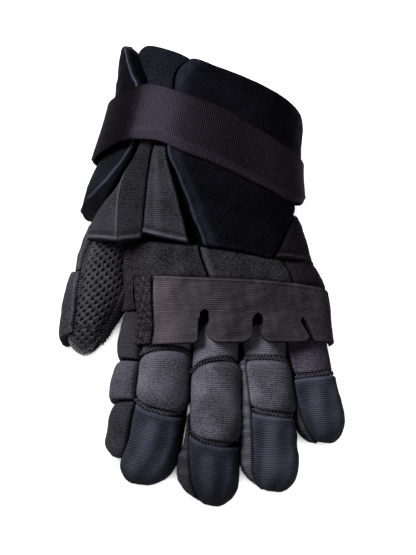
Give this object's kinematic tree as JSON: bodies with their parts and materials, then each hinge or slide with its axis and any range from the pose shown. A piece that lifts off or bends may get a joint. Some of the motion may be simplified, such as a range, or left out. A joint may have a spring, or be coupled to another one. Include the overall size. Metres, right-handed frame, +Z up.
{
  "type": "padded historical fencing glove",
  "caption": "Padded fabric fencing glove for the left hand, lying palm down, with quilted finger pads, a slotted knuckle flap, wedge pads, a flared cuff and an elastic wrist strap.",
  "frame": {"origin": "middle of the bounding box on the surface that the glove lies on", "axes": "+Z up from the palm to the back of the hand, +Y along the glove from the fingertips to the cuff's open end, +X from the thumb's side to the little finger's side"},
  "size_m": [0.205, 0.3332, 0.0922],
  "materials": {
    "liner": "matt black woven liner",
    "knit": "dark grey ribbed knit over padding",
    "smooth": "smooth blue-black fabric over padding",
    "webbing": "wide ribbed elastic webbing",
    "flap": "brown-grey ribbed fabric",
    "mesh": "perforated black synthetic leather"
  },
  "bodies": {
    "root": {"cuff_body": "liner", "palm_body": "liner", "thumb_stall": "mesh", "index_stall": "knit", "middle_stall": "knit", "ring_stall": "knit", "little_stall": "knit", "index_pad_base": "knit", "index_pad_middle": "knit", "index_pad_tip": "knit", "middle_pad_base": "knit", "middle_pad_middle": "knit", "middle_pad_tip": "knit", "ring_pad_base": "knit", "ring_pad_middle": "knit", "ring_pad_tip": "knit", "little_pad_base": "knit", "little_pad_tip": "knit", "middle_side_strip": "knit", "ring_side_strip": "knit", "little_side_strip": "knit", "index_side_pad_1": "knit", "index_side_pad_2": "knit", "index_side_pad_3": "knit", "thumb_pad_upper": "knit", "thumb_pad_lower": "knit", "back_pad_thumb_side": "knit", "back_pad_middle": "knit", "wedge_1": "knit", "wedge_2": "knit", "wedge_3": "knit", "wedge_4": "knit", "back_pad_outer": "smooth", "cuff_panel": "smooth", "cuff_inner_pad": "smooth", "cuff_side_pad": "smooth", "knuckle_flap": "flap", "flap_end": "flap", "wrist_strap": "webbing"}
  },
  "joints": []
}
